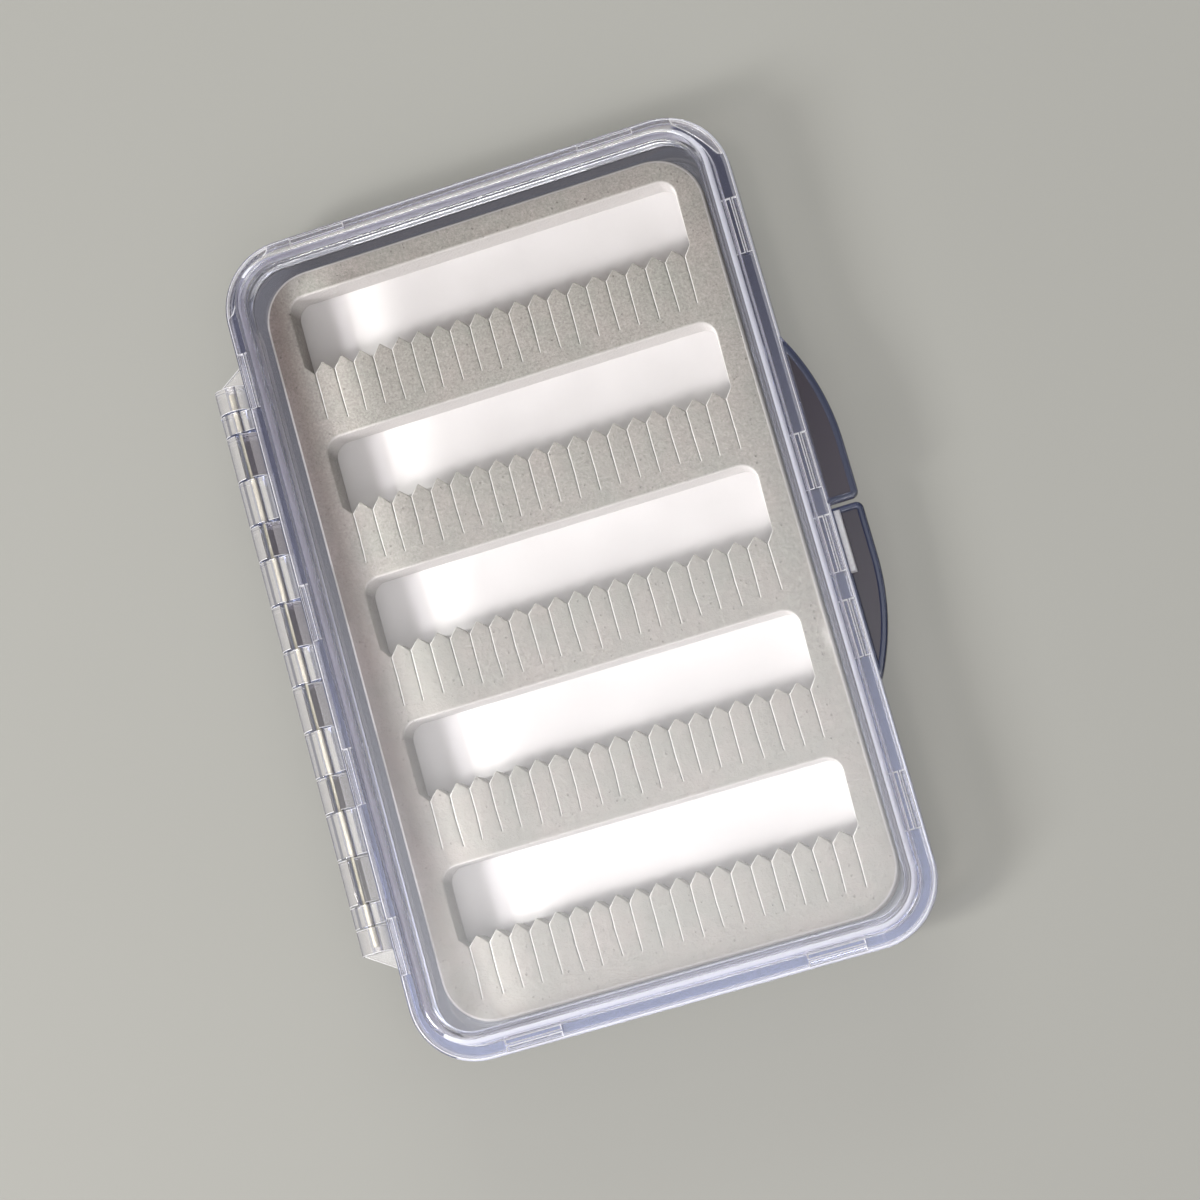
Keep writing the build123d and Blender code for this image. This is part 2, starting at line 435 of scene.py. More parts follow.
def tab_outline(side):
    """Outline of one half of the D-shaped tab: side 1 is the lid's, side -1 the base's."""
    inner = half_width - skirt_thickness
    outer = half_width + tab_reach
    split = tab_gap / 2
    reach = tab_half_length - tab_straight
    arc_radius = (reach**2 + tab_reach**2) / (2 * tab_reach)
    corner = tab_corner_radius
    points = [(inner, split)]
    for step in range(9):
        turn = math.radians(-90 + 90 * step / 8)
        points.append(
            (outer - corner + corner * math.cos(turn), split + corner + corner * math.sin(turn))
        )
    full = math.asin(reach / arc_radius)
    for step in range(21):
        turn = full * step / 20
        points.append(
            (outer - arc_radius * (1 - math.cos(turn)), tab_straight + arc_radius * math.sin(turn))
        )
    points.append((inner, tab_half_length))

    def inset_outline(inset):
        """The outline moved inwards; at the tab's point it stops where its sides meet."""
        moved = []
        for i, point in enumerate(points):
            here = Vector(point)
            into = (here - Vector(points[i - 1])).normalized()
            out = (Vector(points[(i + 1) % len(points)]) - here).normalized()
            left = Vector((-into.y, into.x)) + Vector((-out.y, out.x))
            moved.append(here + left * inset / (1 + into.dot(out)))
        edge = inner + inset
        for i in range(2, len(moved) - 1):
            if moved[i].x < edge:
                share = (moved[i - 1].x - edge) / (moved[i - 1].x - moved[i].x)
                meet = moved[i - 1].lerp(moved[i], share)
                spread = (len(moved) - i) * 0.002 * mm
                for rest in range(i, len(moved)):
                    moved[rest] = meet + Vector((0, spread * (rest - i) / (len(moved) - i)))
                break
        if side < 0:
            moved = [Vector((p.x, -p.y)) for p in reversed(moved)]
        return [tuple(p) for p in moved]

    return inset_outline


def tab_half(side, low):
    """A plate with a rounded bead round its edge and a sunk middle."""
    high = low + tab_thickness
    return carried(
        tab_outline(side),
        eased(
            [
                (1.0 * mm, low, 0),
                (0, low, 0.35 * mm),
                (0, high, 0.45 * mm),
                (tab_bead - 0.15 * mm, high, 0.25 * mm),
                (tab_bead, high - tab_recess, 0),
            ]
        ),
    )


latch_length = 11.0 * mm
latch_thickness = 1.1 * mm
latch_height = 2.3 * mm
latch_clearance = 0.15 * mm
latch_y = -6.4 * mm
gusset_length = 3.8 * mm


def bar_outline(x, y, half_x, half_y):
    """Outline of an upright bar."""

    def inset_outline(inset):
        across = half_x - inset
        along = half_y - inset
        return [
            (x + across, y + along),
            (x - across, y + along),
            (x - across, y - along),
            (x + across, y - along),
        ]

    return inset_outline


def latch_bar():
    """Upright bar on the base's half of the tab, which backs the lid's flange."""
    low = land_z - tab_recess - root_depth
    high = land_z - tab_recess + latch_height
    return carried(
        bar_outline(
            half_width + latch_clearance + latch_thickness / 2,
            latch_y,
            latch_thickness / 2,
            latch_length / 2,
        ),
        eased([(0.05 * mm, low, 0), (0, low, 0), (0, high, 0.33 * mm), (0.5 * mm, high, 0)]),
    )


def gusset(side):
    """Tapered web that runs from the last knuckle into the flange."""
    start = hinge_half - knuckle_gap
    inner = -half_width + skirt_thickness / 2
    low = land_z - rim_thickness + weld
    points = [
        (inner, start * side, low),
        (axis_x - knuckle_radius, start * side, low),
        (-half_width, (hinge_half + gusset_length) * side, low),
        (inner, (hinge_half + gusset_length) * side, low),
    ]
    web = extruded(points, (0, 0, 0), (0, 0, rim_thickness - 2 * weld))
    return soften(web, knuckle_softening)


catch_length = 10.0 * mm
hook_thickness = 1.1 * mm
hook_nose = 0.25 * mm
hook_clearance = 0.1 * mm
outer_catch_from_end = 23.0 * mm
inner_catch_from_latch = 15.05 * mm
end_catch_from_side = 20.0 * mm


def catch_places(latch_too=False):
    """Points on the box's edge beside each catch, and the turn that faces outwards."""
    outer_y = half_length - outer_catch_from_end
    inner = [latch_y - inner_catch_from_latch, latch_y + inner_catch_from_latch]
    end_x = half_width - end_catch_from_side
    places = [
        (side * half_width, y, 90 * side)
        for side in (-1, 1)
        for y in [-outer_y] + inner + [outer_y]
    ]
    places += [(x, half_length, 180) for x in (-end_x, end_x)]
    places += [(x, -half_length, 0) for x in (-end_x, end_x)]
    if latch_too:
        places.append((half_width, latch_y, 90))
    return places


def at_catches(make, latch_too=False):
    """Copies of a small mesh drawn with the box's edge at y = 0, one at each catch."""
    made = []
    for x, y, turn in catch_places(latch_too):
        mesh = make()
        place = Matrix.Translation((x, y, 0)) @ Matrix.Rotation(math.radians(turn), 4, "Z")
        bmesh.ops.transform(mesh, matrix=place, verts=mesh.verts)
        made.append(mesh)
    return made


def snap_hook():
    """Low hook that stands on the flange, its nose towards the lid's skirt."""
    nose = skirt_thickness + hook_clearance
    outer = nose + hook_nose
    inner = outer + hook_thickness
    top = land_z + skirt_depth + parting_gap - hook_clearance
    profile = [
        (0, outer, land_z - root_depth),
        (0, inner, land_z - root_depth),
        (0, inner, top),
        (0, outer, top),
        (0, nose, top - hook_nose),
        (0, outer, top - 2 * hook_nose),
    ]
    return extruded(profile, (-catch_length / 2, 0, 0), (catch_length / 2, 0, 0))


def base_profile():
    """Profile of the base from the middle of its underside to the middle of its floor."""
    rim_low = land_z - rim_thickness
    foot = rim_width + rim_low * math.tan(outside_draft)
    groove_out = rim_width - groove_clearance
    groove_in = rim_width + seal_width + groove_clearance
    groove_low = seal_low.z
    floor_inset = wall_inset + (land_z - tray_floor) * math.tan(cavity_draft)
    return eased(
        [
            (middle_inset, 0, 0),
            (foot, 0, 1.6 * mm),
            (rim_width, rim_low, 0.25 * mm),
            (0, rim_low, 0.4 * mm),
            (0, land_z, 0.12 * mm),
            (groove_out, land_z, 0.06 * mm),
            (groove_out, groove_low, 0),
            (groove_in, groove_low, 0),
            (groove_in, land_z, 0.06 * mm),
            (wall_inset, land_z, 0.1 * mm),
            (floor_inset, tray_floor, 0.8 * mm),
            (floor_ring_inset, tray_floor, 0),
            (middle_inset, tray_floor, 0),
        ]
    )


base_tray = piece_from(carried(box_outline, base_profile()), "base_tray")
spans = knuckle_spans()
base_barrel = barrel(land_z - rim_thickness + weld, land_z - weld)
fittings = [soften(along_hinge(base_barrel, span), knuckle_softening) for span in spans[0::2]]
fittings += [tab_half(-1, land_z - tab_thickness - weld)]
combine(base_tray, fittings, "UNION")
combine(base_tray, [gusset(1), gusset(-1), latch_bar()], "UNION")
combine(base_tray, at_catches(snap_hook), "UNION")
pin_space = [along_hinge(bore(0), span, bore_overrun) for span in (spans[0], spans[-1])]
pin_space += [along_hinge(bore(1), span, bore_overrun) for span in spans[2:-1:2]]
combine(base_tray, pin_space, "DIFFERENCE")


def clear_plastic(
    name, flat_tint, steep_tint, shadow_tint, roughness, near_tint=None, opaque_share=0.0
):
    """Clear plastic whose steep faces have a tint other than its flat ones.

    The real plastic is all of one kind, and clear. The tints and the opaque share are painted
    light and shade, chosen for this studio: dark tints paint the shade in the mouldings, pale
    opaque ones paint the light that gathers in them. A near tint, mostly painted light, takes
    over towards the box's near end. Diffuse and shadow rays go straight through, and take the
    shadow tint.
    """
    material, add = new_material(name)
    rough = mapped(add, grain(add, 9, 2.0), 0.35, 0.75, roughness, roughness * 1.6)
    facing = axes(add, "Normal")["Z"]
    upright = add("ShaderNodeMath", {0: facing}, operation="ABSOLUTE").outputs["Value"]
    tint = shades(add, upright, [(0.1, steep_tint), (0.9, flat_tint)])
    if near_tint is not None:
        nearness = mapped(add, axes(add, "Object")["Y"], half_length / 6, -half_length)
        tint = blended(add, nearness, tint, (*near_tint, 1.0))
    plastic = add(
        "ShaderNodeBsdfPrincipled",
        {
            "Base Color": tint,
            "Roughness": rough,
            "IOR": 1.5,
            "Transmission Weight": 1.0 - opaque_share,
        },
    )
    open_to_lamps = add("ShaderNodeBsdfTransparent", {"Color": (*shadow_tint, 1.0)})
    soft = either(add, "Is Diffuse Ray", plastic, open_to_lamps)
    finish_material(add, either(add, "Is Shadow Ray", soft, open_to_lamps))
    return material


warm_shadow = (0.42, 0.39, 0.38)
smoky_shadow = (0.45, 0.43, 0.47)
faint_shadow = (0.9, 0.9, 0.92)
# Painted shade: the dark steep tint of the walls stands for the shade in their curves.
wall_plastic = clear_plastic(
    "clear_wall", (0.90, 0.90, 0.98), (0.42, 0.43, 0.58), warm_shadow, 0.015, opaque_share=0.05
)
# Painted highlight: a pale, partly opaque tint on the lid's rounded brow.
brow_plastic = clear_plastic(
    "brow_painted_highlight", (0.88, 0.90, 1.0), (0.76, 0.79, 0.94), warm_shadow, 0.03, opaque_share=0.36
)
# Painted light: a pale, partly opaque tint along the far edge of the box.
far_plastic = clear_plastic(
    "far_edge_painted_light", (0.95, 0.95, 0.89), (0.90, 0.90, 0.87), warm_shadow, 0.05, opaque_share=0.14
)
# Painted shade on the flange, and a painted reflection that lightens it towards the near end.
flange_plastic = clear_plastic(
    "flange_painted_shade_and_reflection",
    (0.50, 0.51, 0.64),
    (0.50, 0.51, 0.64),
    (0.72, 0.72, 0.78),
    0.02,
    near_tint=(0.66, 0.69, 0.85),
)
# Painted shade: the dark steep tint down the sides of each knuckle.
knuckle_plastic = clear_plastic(
    "clear_knuckle", (0.98, 0.96, 0.95), (0.26, 0.29, 0.46), faint_shadow, 0.02, opaque_share=0.08
)
panel_plastic = clear_plastic(
    "clear_panel", (0.985, 0.985, 0.99), (0.985, 0.985, 0.99), (0.985, 0.985, 0.985), 0.015
)
depth_plastic = clear_plastic(
    "shaded_depth",
    (0.24, 0.24, 0.31),
    (0.48, 0.48, 0.56),
    faint_shadow,
    0.05,
    near_tint=(0.42, 0.43, 0.53),
)
# Painted shade: the dark blue tint of the bead round the tab.
bead_plastic = clear_plastic(
    "tab_bead", (0.09, 0.11, 0.23), (0.06, 0.07, 0.17), smoky_shadow, 0.03
)
# Painted shade on a knuckle that lies over its slot, giving way to painted light towards the near
# end.
slot_plastic = clear_plastic(
    "knuckle_slot_painted_shade",
    (0.30, 0.28, 0.34),
    (0.16, 0.15, 0.20),
    (0.8, 0.8, 0.82),
    0.03,
    near_tint=(0.88, 0.88, 0.92),
)
# Painted shade: the dark middle of the tab.
tab_shade_plastic = clear_plastic(
    "tab_painted_shade", (0.045, 0.028, 0.038), (0.045, 0.028, 0.038), smoky_shadow, 0.1, opaque_share=0.2
)
# Painted highlight: a pale, partly opaque surface on the catch pockets' walls, the knuckle ends
# and the latch bar.
painted_highlight_edge, add = new_material("painted_highlight_edge")
edge_haze = grain(add, 0.5, 2.0)
finish_surface(
    add,
    {
        "Base Color": shades(
            add, edge_haze, [(0.3, (0.80, 0.80, 0.83)), (0.7, (0.95, 0.95, 0.97))]
        ),
        "Roughness": 0.35,
        "IOR": 1.5,
        "Transmission Weight": 0.6,
    },
)


def goes_round(loop, x, y):
    """True if the loop goes round this point."""
    crossed = False
    for i, here in enumerate(loop):
        last = loop[i - 1]
        if (here[1] > y) != (last[1] > y):
            if x < (last[0] - here[0]) * (y - here[1]) / (last[1] - here[1]) + here[0]:
                crossed = not crossed
    return crossed


def inset_of(x, y):
    """How far a point lies inside the outline of the box."""
    across = half_width - abs(x)
    along = half_length - abs(y)
    if across < corner_radius and along < corner_radius:
        return corner_radius - math.hypot(corner_radius - across, corner_radius - along)
    return min(across, along)


pocket_depth = 0.4 * mm
dish_depth = 0.3 * mm
shaded_reach = 8.0 * mm
corner_reach = 8.0 * mm
rounded_edge = 0.9 * mm


plastics = {
    "wall": wall_plastic,
    "flange": flange_plastic,
    "depth": depth_plastic,
    "bead": bead_plastic,
    "tab": tab_shade_plastic,
    "bright": painted_highlight_edge,
    "knuckle": knuckle_plastic,
    "dark": slot_plastic,
    "brow": brow_plastic,
    "far": far_plastic,
}


def shade_regions(piece, side, top):
    """Give each part of a shell its plastic; side 1 is the lid, -1 the base, top the tab's top.

    Most of these plastics paint light or shade. "depth" is painted shade beside the foam,
    "bead" painted shade round the tab and "tab" in its middle, "dark" painted shade on a
    knuckle over its slot, "flange" painted shade, "bright" and "brow" painted highlights,
    "far" painted light, and the corner dishes are as clear as a knuckle.
    """
    names = list(plastics)
    tab = tab_outline(side)(0)
    middle = tab_outline(side)(tab_bead - 0.2 * mm)
    for polygon in piece.data.polygons:
        x, y, z = polygon.center
        inset = inset_of(x, y)
        flat = abs(polygon.normal.z) > 0.99
        name = "wall"
        if flat and rounded_edge < inset < rim_width and z > land_z - rim_thickness - weld:
            far = y > half_length - rim_width and abs(x) < half_width - corner_reach
            name = ("wall" if side > 0 else "far") if far else "flange"
        if side < 0 and wall_inset - 0.05 * mm < inset < shaded_reach:
            if tray_floor - weld < z < land_z:
                name = "depth"
        dished = abs(lid_rim_high - dish_depth - z) < 0.05 * mm
        if side > 0 and flat and dished and y > half_length - corner_radius:
            name = "knuckle"
        if side < 0 and rim_width < inset < wall_inset and abs(polygon.normal.z) > 0.9:
            if y > half_length - wall_inset and z > land_z - 0.5 * mm:
                name = "far"
        if x > half_width and z < top + 0.1 * mm and goes_round(tab, x, y):
            sunk = polygon.normal.z > 0.9 and goes_round(middle, x, y)
            name = "tab" if sunk else "bead"
        if side < 0 and x > half_width and z > land_z + 0.05 * mm:
            name = "bright"
        if x < -half_width:
            name = "dark" if side < 0 and x > axis_x + bore_radius / 2 else "knuckle"
        if side < 0 and x < -half_width and abs(y) > spans[-1][0]:
            name = "knuckle"
        if x < -half_width and z > axis_z - knuckle_radius / 2:
            name = "bright" if 0.2 < abs(polygon.normal.y) < 0.97 else name
        if side > 0 and not flat and 0.3 * mm < inset < rim_width - 0.1 * mm:
            if lid_rim_high - pocket_depth < z < lid_rim_high:
                name = "bright"
        upward = polygon.normal.z
        if side > 0 and 0.2 < upward < 0.95 and lid_rim_high - 0.5 * mm < z:
            if inset < 0.5 * mm or rim_width < inset < wall_inset:
                name = "brow" if -half_width + corner_radius / 2 < x < half_width else "flange"
                if y > half_length - wall_inset and x < half_width - corner_reach:
                    name = "far" if inset > rim_width else "flange"
        polygon.material_index = names.index(name)


level_flats(base_tray)
dress(base_tray, *plastics.values())
shade_regions(base_tray, -1, land_z)
smooth(base_tray)
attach(base_tray, "base")
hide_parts("base_shell")

# --- Hinge pin -----------------------------------------------------------
# One long steel wire pressed into the two end knuckles of the base. Its ends are cut square
# with a small chamfer, and it stops short of the knuckles' outer faces.

pin_radius = (pin_high.x - pin_low.x) / 2
pin_steps = 40
pin_chamfer = 0.12 * mm
pin_mesh = bmesh.new()
pin_rings = []
for y, radius in [
    (pin_low.y, pin_radius - pin_chamfer),
    (pin_low.y + pin_chamfer, pin_radius),
    (pin_high.y - pin_chamfer, pin_radius),
    (pin_high.y, pin_radius - pin_chamfer),
]:
    pin_rings.append(
        [
            pin_mesh.verts.new(
                (
                    axis_x + radius * math.cos(2 * math.pi * i / pin_steps),
                    y,
                    axis_z + radius * math.sin(2 * math.pi * i / pin_steps),
                )
            )
            for i in range(pin_steps)
        ]
    )
for lower, upper in zip(pin_rings, pin_rings[1:]):
    for i in range(pin_steps):
        j = (i + 1) % pin_steps
        pin_mesh.faces.new((lower[i], lower[j], upper[j], upper[i]))
pin_mesh.faces.new(pin_rings[0])
pin_mesh.faces.new(pin_rings[-1])
pin = piece_from(turned_out(pin_mesh), "pin")

pin_steel, add = new_material("pin_steel")
draw_lines = grain(add, 0.12, 3.0, stretch=(1.0, 0.02, 1.0))
finish_surface(
    add,
    {
        "Base Color": shades(
            add, draw_lines, [(0.3, (0.22, 0.205, 0.155)), (0.7, (0.34, 0.32, 0.25))]
        ),
        "Metallic": 1.0,
        "Roughness": 0.58,
        "Normal": bump(add, draw_lines, 0.4, 0.01 * mm),
    },
)
dress(pin, pin_steel)
smooth(pin)
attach(pin, "base")
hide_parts("hinge_pin")

# --- Rim seal ------------------------------------------------------------
# A loop of soft clear silicone cord, pressed into the groove of the base. Its edges are
# rounded, and its top stands just under the lid's inner wall.

seal_round = 0.33 * mm
seal = piece_from(
    carried(
        box_outline,
        eased(
            [
                (rim_width, seal_low.z, seal_round),
                (rim_width, seal_high.z, seal_round),
                (rim_width + seal_width, seal_high.z, seal_round),
                (rim_width + seal_width, seal_low.z, seal_round),
            ],
            closed=True,
        ),
        closed=True,
    ),
    "seal",
)
seal_silicone, add = new_material("clear_silicone")
seal_tooth = grain(add, 0.4, 2.0)
finish_surface(
    add,
    {
        "Base Color": shades(
            add, seal_tooth, [(0.3, (0.76, 0.76, 0.85)), (0.7, (0.80, 0.80, 0.88))]
        ),
        "Roughness": 0.42,
        "IOR": 1.41,
        "Transmission Weight": 0.85,
        "Normal": bump(add, seal_tooth, 0.3, 0.004 * mm),
    },
)
dress(seal, seal_silicone)
smooth(seal)
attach(seal, "base")
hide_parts("rim_seal")

# --- Foam insert ---------------------------------------------------------
# A slab of fine closed-cell grey foam, die cut right through: five windows, and along the
# near edge of each a row of twenty slits with V mouths that grip the hooks of the flies.

foam_half_x = foam_high.x
foam_half_y = foam_high.y
foam_corner_radius = 9.0 * mm
window_rows = 5
window_height = 12.5 * mm
window_corner_radius = 2.8 * mm
window_side_margin = 4.8 * mm
first_window_margin = 4.4 * mm
last_window_margin = 15.4 * mm
slits_per_row = 20
slit_mouth = 0.12 * mm
slit_end = 0.03 * mm
slit_round = 0.28 * mm
tip_round = 0.08 * mm
cut_round = 0.45 * mm
notch_depth = 1.8 * mm
notch_half_width = 1.5 * mm
uncut_strip = 3.3 * mm
top_drop = 0.12 * mm
top_spacing = 2.2 * mm
top_clear = 0.9 * mm
pore_spacing = 1.7 * mm
window_pitch = (
    2 * foam_half_y - first_window_margin - last_window_margin - window_height
) / (window_rows - 1)
slit_length = window_pitch - window_height - notch_depth - uncut_strip
random.seed(20)


def arc(x, y, radius, start, sweep, steps):
    """Points round a centre, from a start angle through a sweep, both in degrees."""
    return [
        (
            x + radius * math.cos(math.radians(start + sweep * step / steps)),
            y + radius * math.sin(math.radians(start + sweep * step / steps)),
        )
        for step in range(steps + 1)
    ]


def foam_edge():
    """Outer edge of the slab, anticlockwise, and how far in its top edge is rounded."""
    radius = foam_corner_radius
    x, y = foam_half_x - radius, foam_half_y - radius
    points = arc(x, y, radius, 0, 90, 12) + arc(-x, y, radius, 90, 90, 12)
    points += arc(-x, -y, radius, 180, 90, 12) + arc(x, -y, radius, 270, 90, 12)
    return points, [cut_round] * len(points)


def window_edge(row):
    """Edge of a window with its slits, anticlockwise, and how far each point is rounded."""
    half = foam_half_x - window_side_margin
    high = foam_half_y - first_window_margin - row * window_pitch
    low = high - window_height
    corner = window_corner_radius
    points = arc(half - corner, high - corner, corner, 0, 90, 8)
    points += arc(-half + corner, high - corner, corner, 90, 90, 8)
    points.append((-half, low))
    rounds = [-cut_round] * (len(points) - 1) + [-tip_round]
    pitch = 2 * (half - notch_half_width) / (slits_per_row - 1)
    for index in range(slits_per_row):
        x = -half + notch_half_width + index * pitch
        mouth = slit_mouth * random.uniform(0.35, 1.0) / 2
        lean = random.uniform(-0.15, 0.15) * mm
        bend = random.uniform(-0.08, 0.08) * mm
        end = low - notch_depth - slit_length + random.uniform(-0.4, 0.4) * mm
        middle = (low - notch_depth + end) / 2
        root = low - notch_depth * random.uniform(0.9, 1.1)
        points += [
            (x - mouth, root),
            (x - mouth * 0.8 + bend, middle),
            (x - slit_end + lean, end + slit_end),
            (x + lean, end),
            (x + slit_end + lean, end + slit_end),
            (x + mouth * 0.8 + bend, middle),
            (x + mouth, root),
        ]
        rounds += [-slit_round] * 7
        if index < slits_per_row - 1:
            points.append((x + pitch / 2, low + random.uniform(-0.1, 0.1) * mm))
            rounds.append(-tip_round)
    points.append((half, low))
    rounds.append(-tip_round)
    return points, rounds


def moved_edge(points, amounts, share):
    """The edge moved to its left by a share of each point's amount."""
    moved = []
    for i, point in enumerate(points):
        here = Vector(point)
        into = (here - Vector(points[i - 1])).normalized()
        out = (Vector(points[(i + 1) % len(points)]) - here).normalized()
        left = Vector((-into.y - out.y, into.x + out.x))
        moved.append(here + left * amounts[i] * share / max(1 + into.dot(out), 0.6))
    return moved


def foam_top(x, y):
    """Height of the slab's top, which the cutter and the glue leave a little uneven."""
    swell = noise.noise(Vector((x, y, 0)) / (22 * mm)) * 0.10 * mm
    dimple = noise.noise(Vector((x, y, 9 * mm)) / (5 * mm)) * 0.05 * mm
    return foam_high.z - top_drop + swell + dimple


def foam_slab():
    """The slab as a closed mesh: filled top, rounded cut edges, walls and underside."""
    mesh = bmesh.new()
    edges = [foam_edge()] + [window_edge(row) for row in range(window_rows)]
    top_points, top_edges, top_rings = [], [], []
    for points, amounts in edges:
        first = len(top_points)
        top_points += moved_edge(points, amounts, 1.0)
        top_edges += [(first + i, first + (i + 1) % len(points)) for i in range(len(points))]
        top_rings.append(range(first, first + len(points)))
    edge_count = len(top_points)
    outer = top_points[: len(edges[0][0])]
    for i in range(int(2 * foam_half_x / top_spacing)):
        for j in range(int(2 * foam_half_y / top_spacing)):
            x = -foam_half_x + (i + random.uniform(0.8, 1.2)) * top_spacing
            y = -foam_half_y + (j + random.uniform(0.8, 1.2)) * top_spacing
            near = min((Vector((x, y)) - p).length for p in top_points[:edge_count])
            if near > top_clear and goes_round(outer, x, y):
                if not any(goes_round(points, x, y) for points, _ in edges[1:]):
                    top_points.append(Vector((x, y)))
    filled, _, faces, origins, _, _ = geometry.delaunay_2d_cdt(
        top_points, top_edges, [], 0, 1e-8
    )
    place_of = {}
    for new, olds in enumerate(origins):
        for old in olds:
            place_of[old] = new
    top = [mesh.verts.new((p.x, p.y, foam_top(p.x, p.y))) for p in filled]
    bottom = {}
    holes = [top_points[ring[0] : ring[-1] + 1] for ring in top_rings[1:]]
    for face in faces:
        x = sum(filled[i].x for i in face) / 3
        y = sum(filled[i].y for i in face) / 3
        if goes_round(outer, x, y) and not any(goes_round(hole, x, y) for hole in holes):
            mesh.faces.new([top[i] for i in face])
            for i in face:
                if i not in bottom:
                    bottom[i] = mesh.verts.new((filled[i].x, filled[i].y, foam_low.z))
            mesh.faces.new([bottom[i] for i in reversed(face)])
    for (points, amounts), ring in zip(edges, top_rings):
        rings = [[top[place_of[i]] for i in ring]]
        for turn in (30, 60, 90):
            share = 1 - math.sin(math.radians(turn))
            level = []
            for i, p in enumerate(moved_edge(points, amounts, share)):
                drop = abs(amounts[i]) * (1 - math.cos(math.radians(turn)))
                level.append(mesh.verts.new((p.x, p.y, foam_top(p.x, p.y) - drop)))
            rings.append(level)
        rings.append([mesh.verts.new((v.co.x, v.co.y, foam_low.z)) for v in rings[-1]])
        rings.append([bottom[place_of[i]] for i in ring])
        for upper, lower in zip(rings, rings[1:]):
            for i in range(len(upper)):
                j = (i + 1) % len(upper)
                mesh.faces.new((upper[i], upper[j], lower[j], lower[i]))
    bmesh.ops.delete(mesh, geom=[v for v in mesh.verts if not v.link_faces], context="VERTS")
    return turned_out(mesh)


foam = piece_from(foam_slab(), "foam")

foam_grey, add = new_material("grey_foam")
foam_cloud = grain(add, 7.0, 3.0)
foam_mottle = grain(add, 1.1, 3.0, 0.65, offset=(0.1, 0.2, 0.0))
foam_cells = grain(add, 0.45, 3.0, 0.7)
pores = add(
    "ShaderNodeTexVoronoi",
    {"Vector": add("ShaderNodeTexCoord").outputs["Object"], "Scale": 1.0 / pore_spacing},
).outputs["Distance"]
pore_depth = mapped(add, pores, 0.05, 0.14)
# Painted shadow of the lid's rim: the margin beside the hinge is darker and brown,
# apart from its near end.
hinge_side = mapped(add, axes(add, "Object")["X"], -34.5 * mm, -39.0 * mm)
past_near_end = mapped(add, axes(add, "Object")["Y"], -58.0 * mm, -35.0 * mm)
painted_rim_shadow = add("ShaderNodeMath", {0: hinge_side, 1: past_near_end}, operation="MULTIPLY")
foam_colour = shades(add, foam_cells, [(0.3, (0.215, 0.204, 0.190)), (0.7, (0.350, 0.334, 0.315))])
for factor, stops in [
    (foam_mottle, [(0.3, (0.84, 0.84, 0.84)), (0.7, (1.0, 1.0, 1.0))]),
    (foam_cloud, [(0.3, (0.90, 0.93, 0.91)), (0.7, (1.0, 0.975, 0.97))]),
    (painted_rim_shadow.outputs["Value"], [(0.0, (1.0, 1.0, 1.0)), (1.0, (0.60, 0.54, 0.55))]),
    (pore_depth, [(0.0, (0.72, 0.70, 0.70)), (1.0, (1.0, 1.0, 1.0))]),
]:
    foam_colour = blended(add, 1.0, foam_colour, shades(add, factor, stops), "MULTIPLY")
# Painted light: cut walls that face the hinge or the near end are given a paler colour,
# as if lit by the lamps on those sides.
for axis, lit in [("X", (0.80, 0.79, 0.78)), ("Y", (0.54, 0.52, 0.51))]:
    turned = mapped(add, axes(add, "Normal")[axis], -0.15, -0.95)
    foam_colour = blended(add, turned, foam_colour, (*lit, 1.0))
pitted = bump(add, pore_depth, 0.8, 0.12 * mm)
mottled = bump(add, foam_mottle, 0.7, 0.28 * mm, Normal=pitted)
foam_normal = bump(add, foam_cells, 0.6, 0.13 * mm, Normal=mottled)
finish_surface(
    add,
    {
        "Base Color": foam_colour,
        "Roughness": 0.92,
        "Specular IOR Level": 0.2,
        "Normal": foam_normal,
    },
)
# Painted highlight: the rounded top edge round the outside of the slab is a paler grey.
foam_edge_highlight, add = new_material("foam_edge_painted_highlight")
edge_cells = grain(add, 0.3, 3.0, 0.7)
finish_surface(
    add,
    {
        "Base Color": shades(
            add, edge_cells, [(0.25, (0.31, 0.30, 0.30)), (0.75, (0.38, 0.37, 0.37))]
        ),
        "Roughness": 0.8,
        "Normal": bump(add, edge_cells, 0.3, 0.01 * mm),
    },
)
dress(foam, foam_grey, foam_edge_highlight)
# The rounded outer top edge takes the painted highlight.
for polygon in foam.data.polygons:
    x, y, z = polygon.center
    across, along = foam_half_x - abs(x), foam_half_y - abs(y)
    inset = min(across, along)
    if across < foam_corner_radius and along < foam_corner_radius:
        inset = foam_corner_radius - math.hypot(
            foam_corner_radius - across, foam_corner_radius - along
        )
    if inset < 0.8 * cut_round and 0.05 < polygon.normal.z < 0.97:
        polygon.material_index = 1
foam.data.shade_smooth()
foam.data.set_sharp_from_angle(angle=math.radians(40))
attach(foam, "base")
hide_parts("foam_insert")

# --- Lid -----------------------------------------------------------------
# The upper half of the box, moulded in the same clear plastic: a raised flat panel inside a
# flange with a thin skirt, the other knuckles of the hinge and the other half of the tab.

panel_thickness = 1.6 * mm
pocket_wall = 0.15 * mm
pocket_ridge = 0.45 * mm
pocket_lip = 0.2 * mm
pocket_margin = 0.5 * mm
dish_flare = 0.25 * mm
dish_inset = 0.75 * mm
barrel_step = 0.4 * mm


